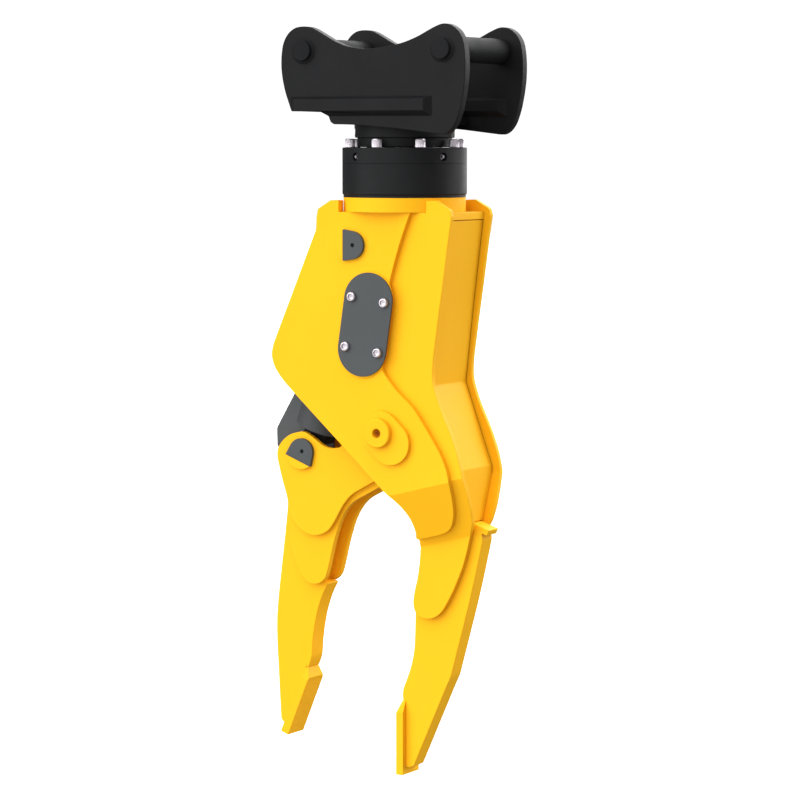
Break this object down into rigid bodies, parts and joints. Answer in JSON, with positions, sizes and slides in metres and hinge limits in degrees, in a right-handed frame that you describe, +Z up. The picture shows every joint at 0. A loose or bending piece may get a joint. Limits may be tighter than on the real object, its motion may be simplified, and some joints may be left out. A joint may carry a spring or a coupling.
{
  "type": "recycling grapple",
  "caption": "Two-jaw recycling grapple with an excavator hitch bracket, a slewing drum, a fixed jaw on a welded frame and one hydraulically driven moving jaw.",
  "frame": {"origin": "midpoint between the two hitch pins, on the slewing axis", "axes": "+Z up along the slewing axis towards the excavator, +X from the moving jaw towards the fixed jaw, +Y along the hitch pins"},
  "size_m": [0.6832, 0.39, 2.0657],
  "materials": {
    "yellow_paint": "satin industrial yellow",
    "bracket_paint": "satin black",
    "drum_paint": "satin black",
    "grey_paint": "satin grey",
    "zinc_steel": "bright plated",
    "bare_steel": "machined",
    "seal_rubber": "matt",
    "bush_bronze": "machined",
    "rod_chrome": "polished"
  },
  "bodies": {
    "bracket": {"bracket_plate_near": "bracket_paint", "bracket_plate_far": "bracket_paint", "hitch_pins": "bracket_paint", "bracket_bars": "bracket_paint", "bracket_base_plate": "bracket_paint", "neck_flange": "drum_paint", "neck_ring": "drum_paint", "hose_adapters": "zinc_steel", "port_manifold": "bare_steel", "port_unions": "zinc_steel", "slew_rotor": "bare_steel", "swivel_core": "bare_steel"},
    "frame": {"rotator_top_flange": "drum_paint", "drum_nipples": "zinc_steel", "rotator_housing": "drum_paint", "flange_cap_screws": "zinc_steel", "shaft_seal": "seal_rubber", "bearing_ring": "bare_steel", "bearing_balls": "bare_steel", "mounting_ring": "yellow_paint", "frame_top_plate": "yellow_paint", "frame_side_plate_near": "yellow_paint", "frame_doubler_near": "yellow_paint", "frame_side_plate_far": "yellow_paint", "frame_doubler_far": "yellow_paint", "rear_web": "yellow_paint", "front_web": "yellow_paint", "mouth_web": "yellow_paint", "fixed_jaw_blade": "yellow_paint", "fixed_tip_pad": "yellow_paint", "pivot_pads": "yellow_paint", "pivot_pin": "yellow_paint", "pivot_caps": "yellow_paint", "pivot_cap_bolts": "yellow_paint", "top_pin": "grey_paint", "top_pin_lock": "yellow_paint", "top_pin_bosses": "yellow_paint", "cover_pads": "yellow_paint", "access_covers": "grey_paint", "cover_screws": "zinc_steel"},
    "jaw": {"jaw_plate_near": "yellow_paint", "jaw_plate_far": "yellow_paint", "jaw_doubler_near": "yellow_paint", "jaw_doubler_far": "yellow_paint", "jaw_hub": "yellow_paint", "pivot_bushes": "bush_bronze", "jaw_blade": "yellow_paint", "jaw_tip_pad": "yellow_paint", "jaw_webs": "yellow_paint", "jaw_pin": "grey_paint", "jaw_pin_lock": "yellow_paint"},
    "rod": {"rod_eye": "grey_paint", "piston_rod": "rod_chrome", "piston": "bare_steel", "rod_guard": "grey_paint", "guard_fin": "grey_paint"},
    "barrel": {"barrel_tube": "grey_paint", "barrel_eye": "grey_paint", "gland": "grey_paint", "wiper_seal": "seal_rubber"}
  },
  "joints": [
    {"name": "slew", "type": "hinge", "parent": "bracket", "child": "frame", "pos_m": [0, 0, -0.28], "axis": [0, 0, 1], "continuous": true},
    {"name": "jaw_pivot", "type": "hinge", "parent": "frame", "child": "jaw", "pos_m": [0.004, 0, -1.038], "axis": [0, -1, 0], "range_deg": [-25, 21.5]},
    {"name": "rod_swing", "type": "hinge", "parent": "jaw", "child": "rod", "pos_m": [-0.29, 0, -1.116], "axis": [0, -1, 0], "range_deg": [-16, 18.6]},
    {"name": "barrel_slide", "type": "slide", "parent": "rod", "child": "barrel", "axis": [0.3344, 0, 0.9424], "range_m": [-0.1112, 0.0958]}
  ],
  "couplings": [
    {"joint": "rod_swing", "follows": "jaw_pivot", "ratio": -0.73158},
    {"joint": "barrel_slide", "follows": "jaw_pivot", "m_per_rad": 0.2529}
  ]
}
